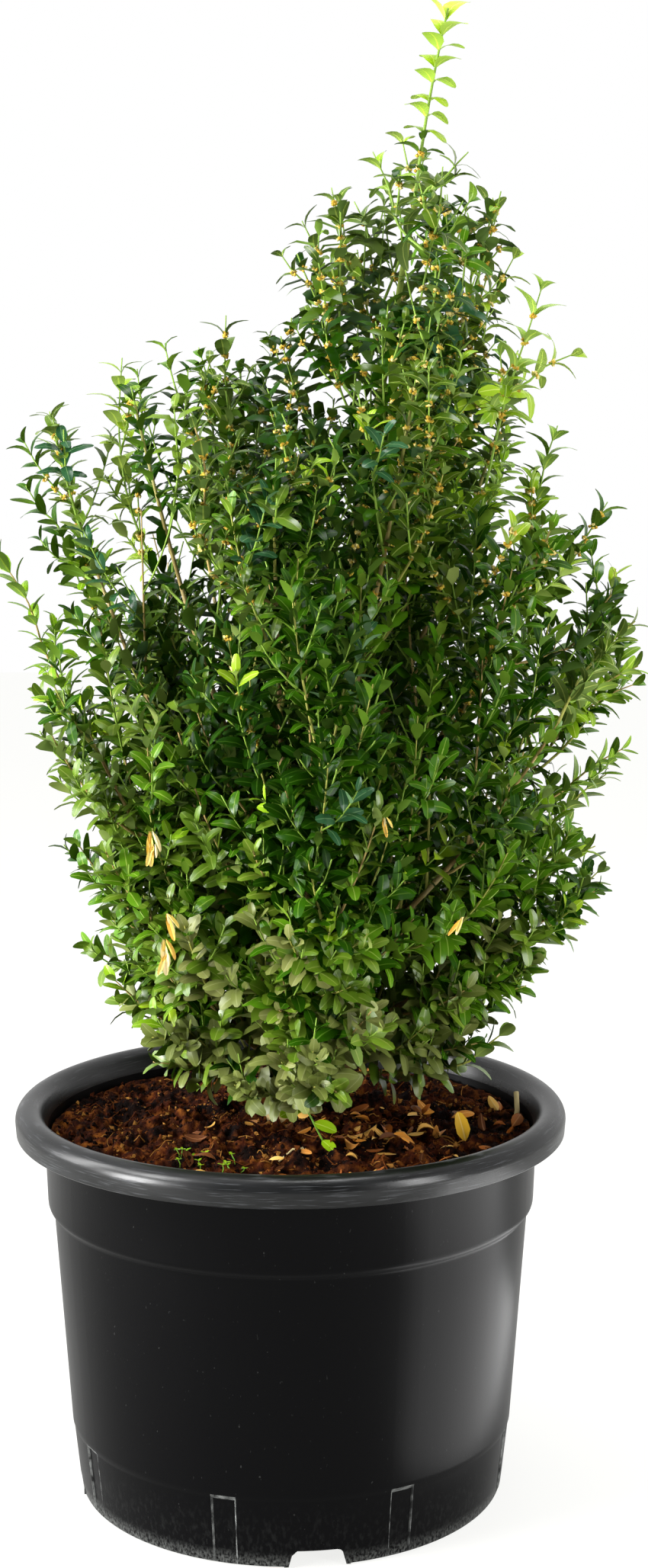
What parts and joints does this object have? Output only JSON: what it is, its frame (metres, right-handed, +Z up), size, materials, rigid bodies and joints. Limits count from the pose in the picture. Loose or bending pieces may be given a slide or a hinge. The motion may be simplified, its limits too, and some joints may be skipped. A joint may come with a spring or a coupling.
{
  "type": "potted common boxwood shrub",
  "caption": "Evergreen boxwood shrub with small opposite leaves on a bushy, leaning crown, rooted in soil in a round nursery pot with a rolled rim.",
  "frame": {"origin": "centre of the pot's flat underside, on the pot's axis", "axes": "+Z up the pot's axis, +X to the right and -Y towards the viewer of the picture"},
  "size_m": [0.5048, 0.45, 1.183],
  "materials": {
    "pot": "satin black blow-moulded plastic, scuffed at the foot",
    "soil": "crumbly dark peat compost",
    "bark": "tan-brown twig bark, greener on young wood",
    "foliage": "soft satin leaves, deep to bright green",
    "fresh_foliage": "soft satin leaves, young lime green"
  },
  "bodies": {
    "root": {"pot": "pot", "soil": "soil", "trunk": "bark", "bough_high_1": "bark", "bough_high_2": "bark", "bough_high_3": "bark", "bough_high_4": "bark", "bough_high_5": "bark", "bough_low_1": "bark", "bough_low_2": "bark", "bough_low_3": "bark", "bough_low_4": "bark", "bough_low_5": "bark", "bough_mid_1": "bark", "bough_mid_2": "bark", "bough_mid_3": "bark", "bough_mid_4": "bark", "bough_mid_5": "bark", "bough_mid_6": "bark", "bough_shoulder_1": "bark", "bough_shoulder_2": "bark", "bough_shoulder_3": "bark", "bough_shoulder_4": "bark", "bough_skirt_1": "bark", "bough_skirt_2": "bark", "bough_skirt_3": "bark", "bough_skirt_4": "bark", "foliage_crest_1": "foliage", "foliage_crest_2": "foliage", "foliage_crest_3": "foliage", "foliage_crest_4": "foliage", "foliage_high_1": "foliage", "foliage_high_2": "foliage", "foliage_high_3": "foliage", "foliage_high_4": "foliage", "foliage_high_5": "foliage", "foliage_leader": "fresh_foliage", "foliage_low_1": "foliage", "foliage_low_2": "foliage", "foliage_low_3": "foliage", "foliage_low_4": "foliage", "foliage_low_5": "foliage", "foliage_mid_1": "foliage", "foliage_mid_2": "foliage", "foliage_mid_3": "foliage", "foliage_mid_4": "foliage", "foliage_mid_5": "foliage", "foliage_mid_6": "foliage", "foliage_shoulder_1": "foliage", "foliage_shoulder_2": "foliage", "foliage_shoulder_3": "foliage", "foliage_shoulder_4": "foliage", "foliage_skirt_1": "foliage", "foliage_skirt_2": "foliage", "foliage_skirt_3": "foliage", "foliage_skirt_4": "foliage"}
  },
  "joints": []
}
